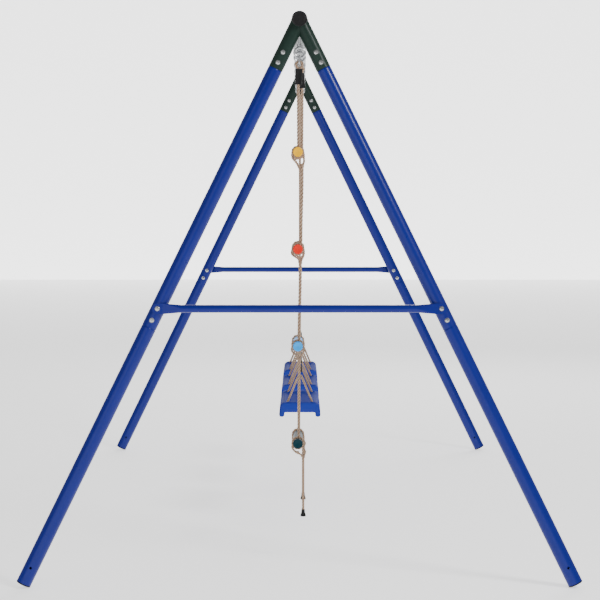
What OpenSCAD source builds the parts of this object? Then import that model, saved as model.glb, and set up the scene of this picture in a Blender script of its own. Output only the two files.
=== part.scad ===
// Four-station swing set: two leaning A-frames joined by a crossbar, three
// moulded seats in a row and a four-rung rope ladder at the front end.
// X runs across the feet, Y along the crossbar, Z up. Units are millimetres.

/* [Frame] */
// Outside diameter of every main tube
tube_d = 48; // [42:1:54]
// Wall thickness of the main tubes
tube_wall = 1.5; // [1.2:0.1:2.5]
// Distance from the middle to each A-frame's apex, along the crossbar
apex_y = 1490; // [1460:10:1700]
// Height of the crossbar's centre line
apex_z = 1825.7; // [1820:0.1:1860]
// Angle of each leg from the A-frame's centre line
leg_angle = 25.9; // [24:0.1:27]
// Outward lean of each A-frame
lean = 3.43; // [2:0.01:5]
// Distance from the apex to the joint in each leg
leg_joint_t = 1111; // [1090:1:1150]
// Outside diameter of the cross brace
brace_d = 25; // [22:1:28]

/* [Ladder] */
// Distance of the two ladder ropes from the middle, along the crossbar
ladder_y = [-1160, -938];
// Height of the top rung's centre
rung_z1 = 1402; // [1390:1:1410]
// Distance from one rung to the next
rung_pitch = 333; // [325:1:336]
// Outside diameter of a rung
rung_d = 33; // [30:1:36]
// Diameter of the ladder rope
ladder_rope_d = 10; // [9:0.5:11]

/* [Swings] */
// Middle of each seat, along the crossbar
seat_y = [-375, 270, 915];
// Length of a seat
seat_l = 430; // [400:5:450]
// Width of a seat
seat_w = 155; // [150:1:165]
// Height of a seat's top face
seat_top = 478; // [470:1:490]
// Distance from a seat's middle to each of its ropes
rope_dy = 185; // [180:1:188]
// Diameter of the swing rope
rope_d = 9; // [8:0.5:9.5]

/* [Fasteners] */
// Diameter of a frame bolt
bolt_d = 8; // [6:1:8]
// Diameter of an eye bolt's shank
eye_bolt_d = 10; // [8:1:10]
// Diameter of each foot's anchor hole
anchor_d = 8.5; // [8.5:0.1:10]

/* [Hidden] */
$fn = 48;

blue = [0.10, 0.16, 0.62];
green = [0.17, 0.25, 0.21];
black = [0.10, 0.10, 0.11];
zinc = [0.75, 0.76, 0.77];
rope_c = [0.66, 0.53, 0.43];
seat_c = [0.16, 0.26, 0.68];

tr = tube_d / 2;
ti = tr - tube_wall;
spig_r = ti - 0.2;           // outside radius of a swaged spigot
spig_i = spig_r - tube_wall;
sleeve_half = 44;            // half length of the bracket's crossbar socket, inboard
stub_t = 180;                // where a bracket leg stub ends
spig_up = 75;                // length of an upper leg's spigot
spig_low = 86;               // length of a lower leg's spigot
rim = 4;                     // thickness of a foot cap's rim
rim_r = 1.5;                 // rounding of a foot cap's rim
// Leg tilt from vertical, once the A-frame leans
cb = cos(leg_angle) * cos(lean);
sb = sqrt(1 - cb * cb);
// Distance from the apex to the foot end, so that the foot rims touch Z = 0
foot_t = rim_r + (apex_z - rim_r - (tr - rim_r) * sb) / cb;
bolt_t = [123, 160, 1045, 1086];   // bolts along each leg
anchor_t = foot_t - 60;
brace_t = 1045;
brace_z = -brace_t * cos(leg_angle);
brace_x = brace_t * sin(leg_angle);
plate_r = 17;                // half height of the brace's flattened ends
plate_h = 4;                 // thickness of the brace's flattened ends
cap_y = apex_y + 36;         // outboard end of the crossbar socket

eye_z = apex_z - 82.2;       // centre of an eye bolt's ring
eye_R = 17.5;                // ring radius to the wire's middle
eye_r = 5;
link_r = 3.3;                // wire radius of a link
link_R = 9.3;                // half width of a link to the wire's middle
pivot_z = eye_z - eye_R + eye_r + link_r + 0.4;
link_len = 32.5;             // from a link's top bar to its bottom bar
thimble_z = pivot_z - link_len - 0.3;  // middle of a rope eye
th_r = 4.9;                  // inside radius of a thimble
sleeve_top = thimble_z - 14;
sleeve_h = 54;
sleeve_a = 25;               // a sleeve's width
sleeve_b = 14;               // a sleeve's depth

clip_z = 568;                // a seat's tilt axis
clip_r = 3;                  // wire radius of a clip's ring
clip_R = 10;
yoke_R = clip_r + 0.45 + rope_d / 2;
hole_x = 51;                 // rope holes in a seat
hole_dy = rope_dy;

rung_x = -6;
rung_z = [rung_z1, rung_z1 - rung_pitch, rung_z1 - 2 * rung_pitch, rung_z1 - 3 * rung_pitch];
groove_r = 13.2;
loop_d = 9.6;
loop_R = groove_r + loop_d / 2 + 0.1;
knot_x = [8, 2, -2];         // where each knot hangs below its rung
ladder_tilt = [2.3, -4.5];   // lean of each ladder hanger
loop_in = [[-4, 8], 4, -2, -3];  // where the ropes meet each loop's top; the first rung's two differ
knot_drop = 46;              // from a rung's centre to the knot below it
tail_x = 12;
tail_top = rung_z[3] - knot_drop - 8;
tail_low = [168, 190];       // lower end of each tail's rope

// ---- placing helpers ----
module side(rear) { if (rear) mirror([0, 1, 0]) children(); else children(); }
module hand(left) { if (left) mirror([1, 0, 0]) children(); else children(); }
// The front A-frame's own plane, origin at the apex, Z down the middle
module plane_front() { translate([0, -apex_y, apex_z]) rotate([-lean, 0, 0]) children(); }
// Along a front right leg, Z = -distance from the apex
module along_leg() { plane_front() rotate([0, -leg_angle, 0]) children(); }
module each_leg() { for (r = [false, true], l = [false, true]) side(r) hand(l) along_leg() children(); }
module at_leg(rear, left) { side(rear) hand(left) along_leg() children(); }

module cross_hole(t, d, len = 80) { translate([0, 0, -t]) rotate([90, 0, 0]) cylinder(d = d, h = len, center = true); }

// Rope swept along points in the XZ plane, each point [x, z]
module rope_path(p, d, n = 10) {
  m = len(p);
  function dir(i) = let (a = p[max(i - 1, 0)], b = p[min(i + 1, m - 1)], v = b - a) v / norm(v);
  // a mitre keeps the rope's width where it bends
  function widen(i) = i == 0 || i == m - 1 ? 1 : let (u = p[i] - p[i - 1], v = p[i + 1] - p[i], c = (u * v) / (norm(u) * norm(v))) 1 / sqrt((1 + max(c, 0)) / 2);
  pts = [for (i = [0 : m - 1], k = [0 : n - 1]) let (t = dir(i), a = 360 * (k + 0.5) / n)
    [p[i][0] - t[1] * cos(a) * d / 2 * widen(i), sin(a) * d / 2, p[i][1] + t[0] * cos(a) * d / 2 * widen(i)]];
  sides = [for (i = [0 : m - 2], k = [0 : n - 1]) let (q = (k + 1) % n) [i * n + k, i * n + q, (i + 1) * n + q, (i + 1) * n + k]];
  polyhedron(points = pts, faces = concat([[for (k = [n - 1 : -1 : 0]) k]], sides, [[for (k = [0 : n - 1]) (m - 1) * n + k]]));
}

// Tube along +Z with a swaged spigot from z = 0 to z = s, then the full body to z = l
module swaged_tube(l, s) {
  rotate_extrude($fn = 64) polygon([
    [spig_i, 0.8], [spig_r - 0.8, 0], [spig_r, 0.8], [spig_r, s - 1], [spig_r + 0.5, s + 0.2],
    [tr - 0.6, s + 1.4], [tr, s + 3], [tr, l - 0.5], [tr - 0.5, l],
    [ti, l], [ti, s + 6], [spig_i, s + 1]]);
}

// ---- frame ----
module beam_half() {
  // The front half carries the spigot at both ends; the rear half takes it in the middle
  difference() {
    union() {
      rotate([90, 0, 0]) difference() {
        cylinder(r = tr, h = apex_y - sleeve_half, $fn = 64);
        translate([0, 0, -1]) cylinder(r = ti, h = apex_y, $fn = 64);
      }
      translate([0, -(apex_y - sleeve_half) + 3, 0]) rotate([90, 0, 0]) difference() {
        cylinder(r = spig_r, h = 68, $fn = 64);
        translate([0, 0, -1]) cylinder(r = spig_i, h = 70, $fn = 64);
      }
      translate([0, -(apex_y - sleeve_half) + 3, 0]) rotate([90, 0, 0]) difference() {
        cylinder(r = ti, h = 2, center = true, $fn = 64);
        cylinder(r = spig_i, h = 3, center = true, $fn = 64);
      }
    }
    translate([0, -apex_y + 20, 0]) cylinder(d = bolt_d + 0.5, h = 80, center = true);
    translate([0, -45, 0]) cylinder(d = bolt_d + 0.5, h = 80, center = true);
    for (y = concat(ladder_y, [for (s = seat_y, d = [-1, 1]) s + d * rope_dy]))
      if (y < 0) translate([0, y, 0]) cylinder(d = eye_bolt_d + 0.4, h = 80, center = true);
  }
}
module beam_front() color(green) translate([0, 0, apex_z]) {
  beam_half();
  // middle spigot, pressed into this half and reaching 90 mm into the other
  difference() {
    translate([0, 90, 0]) rotate([90, 0, 0]) difference() {
      cylinder(r = spig_r, h = 170, $fn = 64);
      translate([0, 0, -1]) cylinder(r = spig_i, h = 172, $fn = 64);
    }
    for (y = [-45, 45]) translate([0, y, 0]) cylinder(d = bolt_d + 0.5, h = 80, center = true);
    translate([0, 85, 0]) cylinder(d = eye_bolt_d + 0.8, h = 80, center = true);
  }
  translate([0, -70, 0]) rotate([90, 0, 0]) difference() {
    cylinder(r = ti + 0.1, h = 8, $fn = 64);
    translate([0, 0, -1]) cylinder(r = spig_i, h = 10, $fn = 64);
  }
}
module beam_rear() color(green) translate([0, 0, apex_z]) difference() {
  mirror([0, 1, 0]) difference() {
    union() {
      translate([0, -0.4, 0]) rotate([90, 0, 0]) difference() {
        cylinder(r = tr, h = apex_y - sleeve_half - 0.4, $fn = 64);
        translate([0, 0, -1]) cylinder(r = ti, h = apex_y, $fn = 64);
      }
      translate([0, -(apex_y - sleeve_half) + 3, 0]) rotate([90, 0, 0]) difference() {
        cylinder(r = spig_r, h = 68, $fn = 64);
        translate([0, 0, -1]) cylinder(r = spig_i, h = 70, $fn = 64);
      }
      translate([0, -(apex_y - sleeve_half) + 3, 0]) rotate([90, 0, 0]) difference() {
        cylinder(r = ti, h = 2, center = true, $fn = 64);
        cylinder(r = spig_i, h = 3, center = true, $fn = 64);
      }
    }
    translate([0, -apex_y + 20, 0]) cylinder(d = bolt_d + 0.5, h = 80, center = true);
    translate([0, -45, 0]) cylinder(d = bolt_d + 0.5, h = 80, center = true);
  }
  for (s = seat_y, d = [-1, 1]) if (s + d * rope_dy > 0)
    translate([0, s + d * rope_dy, 0]) cylinder(d = eye_bolt_d + 0.4, h = 80, center = true);
}

module bracket() {
  difference() {
    union() {
      translate([0, -apex_y + sleeve_half - 0.5, apex_z]) rotate([90, 0, 0]) cylinder(r = tr, h = sleeve_half + 36 - 0.5, $fn = 64);
      for (l = [false, true]) hand(l) along_leg() translate([0, 0, -stub_t]) cylinder(r = tr, h = stub_t, $fn = 64);
    }
    translate([0, -apex_y + sleeve_half + 1, apex_z]) rotate([90, 0, 0]) cylinder(r = ti, h = 90, $fn = 64);
    for (l = [false, true]) hand(l) along_leg() {
      translate([0, 0, -stub_t - 1]) cylinder(r = ti, h = stub_t - 34, $fn = 64);
      for (t = [123, 160]) cross_hole(t, bolt_d + 0.5);
    }
    translate([0, -apex_y + 20, apex_z]) cylinder(d = bolt_d + 0.5, h = 60);
  }
}
module apex_bracket_front() color(green) side(false) bracket();
module apex_bracket_rear() color(green) side(true) bracket();

module upper_leg(rear, left) color(blue) at_leg(rear, left) difference() {
  translate([0, 0, -(stub_t - spig_up)]) mirror([0, 0, 1]) swaged_tube(leg_joint_t - (stub_t - spig_up), spig_up + 0.5);
  for (t = bolt_t) cross_hole(t, bolt_d + 0.5);
}
module lower_leg(rear, left) color(blue) at_leg(rear, left) difference() {
  translate([0, 0, -(leg_joint_t - spig_low)]) mirror([0, 0, 1]) swaged_tube(foot_t - rim - (leg_joint_t - spig_low), spig_low + 0.5);
  for (t = [1045, 1086]) cross_hole(t, bolt_d + 0.5);
  cross_hole(anchor_t, anchor_d);
}

module brace() color(blue) plane_front() translate([0, -tr - plate_h / 2 - 0.1, brace_z]) difference() {
  union() {
    rotate([0, 90, 0]) difference() {
      cylinder(d = brace_d, h = 2 * (brace_x - 75), center = true, $fn = 48);
      cylinder(d = brace_d - 2.4, h = 2 * (brace_x - 90), center = true, $fn = 48);
    }
    for (s = [-1, 1]) {
      hull() {
        translate([s * (brace_x - 75), 0, 0]) rotate([0, 90, 0]) cylinder(d = brace_d, h = 1, center = true, $fn = 32);
        translate([s * (brace_x - 18), 0, 0]) cube([1, plate_h, 2 * plate_r], center = true);
      }
      translate([s * (brace_x - 9), 0, 0]) cube([19, plate_h, 2 * plate_r], center = true);
      translate([s * brace_x, 0, 0]) rotate([90, 0, 0]) cylinder(r = plate_r, h = plate_h, center = true, $fn = 64);
    }
  }
  for (s = [-1, 1]) translate([s * brace_x, 0, 0]) rotate([90, 0, 0]) cylinder(d = bolt_d + 0.5, h = 20, center = true);
}
module cross_brace_front() side(false) brace();
module cross_brace_rear() side(true) brace();

module beam_end_caps() color(black) for (r = [false, true]) side(r) translate([0, -cap_y, apex_z]) rotate([90, 0, 0]) {
  rotate_extrude($fn = 64) polygon([[0, 0.1], [25.5, 0.1], [25.5, 2.5], [25, 3.6], [24, 4.2], [22.5, 4.4], [21.5, 3.7], [20, 3.5], [0, 3.9]]);
  translate([0, 0, -12.9]) difference() {
    cylinder(r = ti - 0.3, h = 13);
    translate([0, 0, -1]) cylinder(r = ti - 3, h = 11);
  }
}
module foot_caps() color(black) each_leg() translate([0, 0, -foot_t]) {
  rotate_extrude($fn = 64) polygon([[0, 0], [tr - rim_r, 0], [tr - 0.45, 0.45], [tr, rim_r], [tr, rim - 0.1], [0, rim - 0.1]]);
  translate([0, 0, rim - 0.2]) difference() {
    cylinder(r = ti - 0.3, h = 22);
    translate([0, 0, 3]) cylinder(r = ti - 3, h = 30);
  }
}

// Dome-head bolt: head outboard, thread inboard; origin at the tube's middle, axis along Y
module dome_bolt(out, reach = 0) {
  translate([0, -out, 0]) rotate([90, 0, 0]) difference() {
    rotate_extrude($fn = 32) polygon([[0, 0], [7, 0], [7, 1.2], [6.2, 2.8], [4.6, 4], [2.4, 4.5], [0, 4.5]]);
    translate([0, 0, 2]) cylinder(d = 5.2, h = 4, $fn = 6);
  }
  translate([0, 0.5 - out, 0]) rotate([-90, 0, 0]) cylinder(d = bolt_d, h = reach > 0 ? reach : out + tr + 11);
}
module cap_nut(at) translate([0, at, 0]) rotate([-90, 0, 0]) difference() {
  union() {
    cylinder(d = 15, h = 6, $fn = 6);
    rotate_extrude($fn = 32) polygon([[0, 5], [6.2, 5], [6.2, 8.5], [5.2, 11.2], [3, 13], [0, 13.5]]);
  }
  translate([0, 0, -1]) cylinder(d = bolt_d + 0.2, h = 11.5);
}
module washer(at, d, hole) translate([0, at, 0]) rotate([-90, 0, 0]) difference() {
  cylinder(d = d, h = 1.4);
  translate([0, 0, -1]) cylinder(d = hole, h = 4);
}
module frame_bolts() color(zinc) {
  each_leg() for (t = bolt_t) translate([0, 0, -t]) dome_bolt(t == brace_t ? tr + plate_h + 1.7 : tr + 1.5);
  for (y = [-45, 45]) translate([0, y, apex_z]) rotate([-90, 0, 0]) dome_bolt(tr + 1.5);
  // a screw from above holds each end of the crossbar in its bracket
  for (y = [-apex_y + 20, apex_y - 20]) translate([0, y, apex_z]) rotate([-90, 0, 0]) dome_bolt(tr + 1.5, 16);
}
module frame_cap_nuts() color(zinc) {
  each_leg() for (t = bolt_t) translate([0, 0, -t]) cap_nut(tr + 1.5);
  for (y = [-45, 45]) translate([0, y, apex_z]) rotate([-90, 0, 0]) cap_nut(tr + 1.5);
}
module frame_washers() color(zinc) {
  each_leg() for (t = bolt_t) translate([0, 0, -t]) {
    washer(tr + 0.05, 16, bolt_d + 0.3);
    washer(t == brace_t ? -tr - plate_h - 1.65 : -tr - 1.45, 16, bolt_d + 0.3);
  }
  for (y = [-apex_y + 20, -45, 45, apex_y - 20]) translate([0, y, apex_z]) rotate([-90, 0, 0]) {
    if (abs(y) < 100) washer(tr + 0.05, 16, bolt_d + 0.3);
    washer(-tr - 1.45, 16, bolt_d + 0.3);
  }
}

hang_y = concat(ladder_y, [for (s = seat_y, d = [-1, 1]) s + d * rope_dy]);
module eye_bolts() color(zinc) for (y = hang_y) translate([0, y, 0]) {
  translate([0, 0, eye_z]) rotate([90, 0, 0]) rotate_extrude($fn = 64) translate([eye_R, 0]) circle(r = eye_r, $fn = 32);
  translate([0, 0, eye_z + eye_R + eye_r - 1.2]) rotate_extrude($fn = 32) polygon([[0, 0], [8, 0], [12, 1.5], [12, 6], [11, 7.2], [0, 7.2]]);
  translate([0, 0, eye_z + eye_R + eye_r + 4]) cylinder(d = eye_bolt_d, h = apex_z + tr + 14 - (eye_z + eye_R + eye_r + 4));
}
module eye_bolt_nuts() color(zinc) for (y = hang_y) translate([0, y, apex_z + tr + 2]) difference() {
  union() {
    cylinder(d = 18.5, h = 8, $fn = 6);
    rotate_extrude($fn = 32) polygon([[0, 7], [7.8, 7], [7.8, 10.5], [6.4, 13.8], [3.6, 15.8], [0, 16.4]]);
  }
  translate([0, 0, -1]) cylinder(d = eye_bolt_d, h = 14);
}
module eye_bolt_washers() color(zinc) for (y = hang_y) translate([0, y, apex_z + tr + 0.05]) difference() {
  cylinder(d = 21, h = 1.9);
  translate([0, 0, -1]) cylinder(d = eye_bolt_d + 0.4, h = 4);
}

// ---- hangers, shared by swings and ladder; origin at the pivot ----
module link() {
  for (e = [0, 1]) translate([0, 0, e ? -link_len + link_R : -link_R]) rotate([e ? 180 : 0, 0, 0]) rotate([0, 0, 90]) rotate([90, 0, 0])
    rotate_extrude(angle = 180, $fn = 48) translate([link_R, 0]) circle(r = link_r, $fn = 24);
  for (s = [-1, 1]) translate([0, s * link_R, -link_len + link_R]) cylinder(r = link_r, h = link_len - 2 * link_R);
  translate([0, link_R, -link_len / 2 - 6]) cylinder(d = 9.6, h = 12, $fn = 6);
}
module thimble() translate([0, 0, thimble_z - pivot_z]) rotate([90, 0, 0]) difference() {
  cylinder(r = th_r + 1, h = 7, center = true);
  cylinder(r = th_r, h = 10, center = true);
}
// The eye's points: up one side, round the thimble and down the other
function eye_points(d, low) = let (R = th_r + 1.15 + d / 2, z0 = thimble_z - pivot_z, st = sleeve_top - pivot_z, sl = st - sleeve_h, g = d / 2 + 0.15) concat(
  [[0, low], [0, sl + 2], [-g * 0.3, sl + 9], [-g * 0.75, sl + 18], [-g, sl + 26], [-g, st]],
  [for (a = [205 : -23 : -25]) [R * cos(a), z0 + R * sin(a)]],
  [[g, st], [g, sl + 24]]);
module rope_sleeve() translate([0, 0, sleeve_top - sleeve_h - pivot_z]) difference() {
  linear_extrude(sleeve_h) union() {
    for (s = [-1, 1]) translate([s * (sleeve_a - sleeve_b) / 2, 0]) circle(d = sleeve_b, $fn = 40);
    square([sleeve_a - sleeve_b, sleeve_b], center = true);
  }
  translate([0, 0, -1]) linear_extrude(sleeve_h + 2) union() {
    for (s = [-1, 1]) translate([s * 5.3, 0]) circle(d = 11, $fn = 40);
    square([10.6, 11], center = true);
  }
}

// ---- swings ----
module swing_at(i) { for (d = [-1, 1]) translate([0, seat_y[i] + d * rope_dy, pivot_z]) children(); }
ferrule_top = clip_z + clip_R * 2 + 30;
module swing_ropes(i) color(rope_c) swing_at(i) {
  rope_path(eye_points(rope_d, ferrule_top - 22 - pivot_z), rope_d);
}
module swing_clips(i) color(black) swing_at(i) translate([0, 0, clip_z - pivot_z]) {
  translate([0, 0, clip_R]) rotate([0, 90, 0]) rotate_extrude($fn = 48) translate([clip_R, 0]) circle(r = clip_r, $fn = 24);
  translate([0, 0, 2 * clip_R - 1]) rotate_extrude($fn = 32) polygon([[0, 0], [7, 0], [8.5, 3], [8.5, 22], [6.5, 31], [rope_d / 2 + 0.2, 31], [rope_d / 2 + 0.2, 8], [0, 8]]);
}
module swing_links(i) color(zinc) swing_at(i) link();
module swing_thimbles(i) color(zinc) swing_at(i) thimble();
module swing_sleeves(i) color(black) swing_at(i) rope_sleeve();

// Yoke: a rope from one side hole up over the clip's ring and down to the other
yoke_drop = clip_z - seat_top + 12;
yoke_run = sqrt(hole_x * hole_x + yoke_drop * yoke_drop);
yoke_tilt = atan2(hole_x, yoke_drop) - asin(yoke_R / yoke_run);  // leg's angle from vertical
yoke_points = concat(
  [[-hole_x, -yoke_drop - 24], [-hole_x, -yoke_drop - 6], [-hole_x + 1.5, -yoke_drop + 2]],
  [for (n = [0 : 6]) let (a = 180 - yoke_tilt - n * (180 - 2 * yoke_tilt) / 6) [yoke_R * cos(a), yoke_R * sin(a)]],
  [[hole_x - 1.5, -yoke_drop + 2], [hole_x, -yoke_drop - 6], [hole_x, -yoke_drop - 24]]);
module yoke() {
  rope_path(yoke_points, rope_d);
  for (s = [-1, 1]) translate([s * hole_x, 0, -yoke_drop - 24]) sphere(d = 17, $fn = 32);
}
module yoke_ropes(i) color(rope_c) for (d = [-1, 1]) translate([0, seat_y[i] + d * rope_dy, clip_z]) yoke();

// Seat outline across its width: rounded top corners and two rails below
module seat_outline(top, deck, rail, r = 20) {
  w = seat_w / 2;
  difference() {
    union() {
      translate([-w + r, top - r]) circle(r = r, $fn = 48);
      translate([w - r, top - r]) circle(r = r, $fn = 48);
      translate([-w + r, top - deck]) square([2 * (w - r), deck]);
      translate([-w, top - rail + 9]) square([2 * w, rail - r - 9]);
      for (s = [-1, 1]) translate([s * (w - 9.75), top - rail + 9]) circle(r = 9.75, $fn = 40);
    }
    translate([-w + 19.5, top - rail - 2]) square([2 * (w - 19.5), rail - deck + 2]);
    for (s = [-1, 1]) translate([s > 0 ? w : -w - 2, top - rail - 2]) square([2, rail + 4]);
  }
}
module seat(i) color(seat_c) translate([0, seat_y[i], seat_top]) difference() {
  union() {
    for (s = [-1, 1]) translate([0, s * (seat_l / 2 - 20) + 20, 0]) rotate([90, 0, 0]) linear_extrude(40) seat_outline(0, 38, 55);
    translate([0, seat_l / 2 - 30, 0]) rotate([90, 0, 0]) linear_extrude(seat_l - 60) seat_outline(-7, 25, 48);
  }
  for (x = [-hole_x, hole_x], y = [-hole_dy, hole_dy]) {
    translate([x, y, -70]) cylinder(d = rope_d + 1.5, h = 55);
    translate([x, y, -70]) cylinder(d = 20, h = 50);
    hull() {
      translate([x, y, -20]) cylinder(d = rope_d + 1.5, h = 0.1);
      translate([x - sign(x) * 3.8, y, 1]) cylinder(d = rope_d + 6.8, h = 0.1);
    }
  }
}

// ---- ladder ----
// The two ladder hangers don't hang quite true: each leans a little
module ladder_at() { for (i = [0, 1]) translate([0, ladder_y[i], pivot_z]) rotate([0, ladder_tilt[i], 0]) children(); }
function turned(p, a) = [for (q = p) [q[0] * cos(a) + q[1] * sin(a), q[1] * cos(a) - q[0] * sin(a)]];
module ladder_links() color(zinc) ladder_at() link();
module ladder_thimbles() color(zinc) ladder_at() thimble();
module ladder_sleeves() color(black) ladder_at() rope_sleeve();
module rope_loop() rotate([90, 0, 0]) rotate_extrude($fn = 48) translate([loop_R, 0]) circle(d = loop_d, $fn = 24);
// The two strands that gather below a rung's loop into a knot at [kx, -knot_drop]
module vee(kx) {
  rope_path([[rung_x - 21.5, -9], [rung_x - 19, -20], [kx - 5, -knot_drop + 9], [kx - 1, -knot_drop]], 8);
  rope_path([[rung_x + 21.5, -9], [rung_x + 20, -20], [kx + 5, -knot_drop + 9], [kx + 1, -knot_drop]], 8);
  translate([kx, 0, -knot_drop]) sphere(d = 14, $fn = 32);
}
module ladder_run(k) {
  z = rung_z[k - 1];
  for (y = ladder_y) translate([0, y, 0]) {
    translate([rung_x, 0, rung_z[k]]) rope_loop();
    difference() {
      translate([0, 0, z]) vee(knot_x[k - 1]);
      translate([rung_x, 0, z]) rotate([90, 0, 0]) cylinder(r = loop_R + loop_d / 2 + 0.5, h = 40, center = true, $fn = 64);
    }
    rope_path([[knot_x[k - 1], z - knot_drop - 2], [knot_x[k - 1], z - 90], [loop_in[k], rung_z[k] + 80], [loop_in[k], rung_z[k] + loop_R - 2]], ladder_rope_d);
  }
}
module ladder_ropes_1() color(rope_c) for (i = [0, 1]) translate([0, ladder_y[i], 0]) {
  x = loop_in[0][i];
  z = rung_z[0] + (i == 0 ? loop_R - 1 : 12);
  translate([rung_x, 0, rung_z[0]]) rope_loop();
  translate([0, 0, pivot_z]) rope_path(concat([[x, z - pivot_z], [x, z + 100 - pivot_z]],
    turned(eye_points(ladder_rope_d, sleeve_top - sleeve_h - 12 - pivot_z), ladder_tilt[i])), ladder_rope_d);
}
module ladder_ropes_2() color(rope_c) ladder_run(1);
module ladder_ropes_3() color(rope_c) ladder_run(2);
module ladder_ropes_4() color(rope_c) {
  ladder_run(3);
  for (y = ladder_y) translate([0, y, rung_z[3]]) vee(tail_x);
}
rung_over = 30;              // how far a rung reaches past each rope
module rung(k, c) color(c) translate([rung_x, 0, rung_z[k]]) {
  y0 = ladder_y[0] - rung_over;
  l = ladder_y[1] - ladder_y[0] + 2 * rung_over;
  r = rung_d / 2;
  g = loop_d / 2 + 0.5;
  translate([0, y0 + l, 0]) rotate([90, 0, 0]) difference() {
    rotate_extrude($fn = 64) polygon([[0, 1], [r - 5, 1], [r - 4, 0], [r - 1.5, 0], [r, 1.5], [r, rung_over - g - 1], [groove_r, rung_over - g],
      [groove_r, rung_over + g], [r, rung_over + g + 1], [r, l - rung_over - g - 1], [groove_r, l - rung_over - g],
      [groove_r, l - rung_over + g], [r, l - rung_over + g + 1], [r, l - 1.5], [r - 1.5, l], [r - 4, l], [r - 5, l - 1], [0, l - 1]]);
    translate([0, 0, 4]) cylinder(r = groove_r - 2.5, h = l - 8);
  }
}
module tail(i) color(rope_c) translate([tail_x, ladder_y[i], 0]) translate([0, 0, tail_low[i]])
  cylinder(d = ladder_rope_d - 0.6, h = tail_top - tail_low[i]);
module tail_cap(i) color(black) translate([tail_x, ladder_y[i], tail_low[i] - 17]) difference() {
  rotate_extrude($fn = 40) polygon([[0, 0], [8.6, 0], [9.5, 1.2], [9.3, 5], [6.2, 14], [6, 24], [0, 24]]);
  translate([0, 0, 17 - 0.05]) cylinder(d = ladder_rope_d - 0.5, h = 20);
}

beam_front();
beam_rear();
apex_bracket_front();
apex_bracket_rear();
upper_leg(false, true);  // upper_leg_front_left
upper_leg(false, false);  // upper_leg_front_right
upper_leg(true, true);  // upper_leg_rear_left
upper_leg(true, false);  // upper_leg_rear_right
lower_leg(false, true);  // lower_leg_front_left
lower_leg(false, false);  // lower_leg_front_right
lower_leg(true, true);  // lower_leg_rear_left
lower_leg(true, false);  // lower_leg_rear_right
cross_brace_front();
cross_brace_rear();
beam_end_caps();
foot_caps();
frame_bolts();
frame_cap_nuts();
frame_washers();
eye_bolts();
eye_bolt_nuts();
eye_bolt_washers();
seat(0);  // seat_front
seat(1);  // seat_middle
seat(2);  // seat_rear
yoke_ropes(0);  // yoke_ropes_front
yoke_ropes(1);  // yoke_ropes_middle
yoke_ropes(2);  // yoke_ropes_rear
swing_ropes(0);  // swing_ropes_front
swing_ropes(1);  // swing_ropes_middle
swing_ropes(2);  // swing_ropes_rear
swing_clips(0);  // swing_clips_front
swing_clips(1);  // swing_clips_middle
swing_clips(2);  // swing_clips_rear
swing_links(0);  // swing_links_front
swing_links(1);  // swing_links_middle
swing_links(2);  // swing_links_rear
swing_thimbles(0);  // swing_thimbles_front
swing_thimbles(1);  // swing_thimbles_middle
swing_thimbles(2);  // swing_thimbles_rear
swing_sleeves(0);  // swing_sleeves_front
swing_sleeves(1);  // swing_sleeves_middle
swing_sleeves(2);  // swing_sleeves_rear
ladder_links();
ladder_thimbles();
ladder_sleeves();
ladder_ropes_1();
ladder_ropes_2();
ladder_ropes_3();
ladder_ropes_4();
rung(0, [0.95, 0.72, 0.05]);  // rung_1
rung(1, [0.93, 0.22, 0.15]);  // rung_2
rung(2, [0.25, 0.68, 0.92]);  // rung_3
rung(3, [0.08, 0.28, 0.34]);  // rung_4
tail(0);  // ladder_tail_near
tail(1);  // ladder_tail_far
tail_cap(0);  // tail_cap_near
tail_cap(1);  // tail_cap_far
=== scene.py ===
import bpy, bmesh, math
from mathutils import Vector, Matrix


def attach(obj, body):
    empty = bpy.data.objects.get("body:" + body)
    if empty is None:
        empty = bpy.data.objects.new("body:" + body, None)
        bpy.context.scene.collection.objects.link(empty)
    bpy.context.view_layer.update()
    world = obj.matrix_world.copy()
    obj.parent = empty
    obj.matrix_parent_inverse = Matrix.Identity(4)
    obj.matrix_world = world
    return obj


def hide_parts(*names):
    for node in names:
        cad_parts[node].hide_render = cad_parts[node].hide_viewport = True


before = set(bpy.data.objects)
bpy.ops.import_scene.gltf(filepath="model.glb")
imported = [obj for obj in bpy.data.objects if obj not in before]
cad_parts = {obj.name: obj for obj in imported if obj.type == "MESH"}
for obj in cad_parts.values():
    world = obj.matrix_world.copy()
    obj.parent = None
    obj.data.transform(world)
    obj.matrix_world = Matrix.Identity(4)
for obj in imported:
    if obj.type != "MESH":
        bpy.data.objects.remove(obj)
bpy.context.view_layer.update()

# ---------------------------------------------------------------- camera
cam_data = bpy.data.cameras.new("camera")
cam = bpy.data.objects.new("camera", cam_data)
bpy.context.scene.collection.objects.link(cam)
cam.location = (0.007, -7.490, 1.2524)
cam.rotation_euler = (math.radians(90), 0, 0)
cam_data.sensor_width = 36.0
cam_data.lens = 1842.6 / 600 * 36
cam_data.shift_x = -0.0028
cam_data.shift_y = -0.174
cam_data.clip_start, cam_data.clip_end = 0.05, 100
bpy.context.scene.camera = cam

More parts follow.
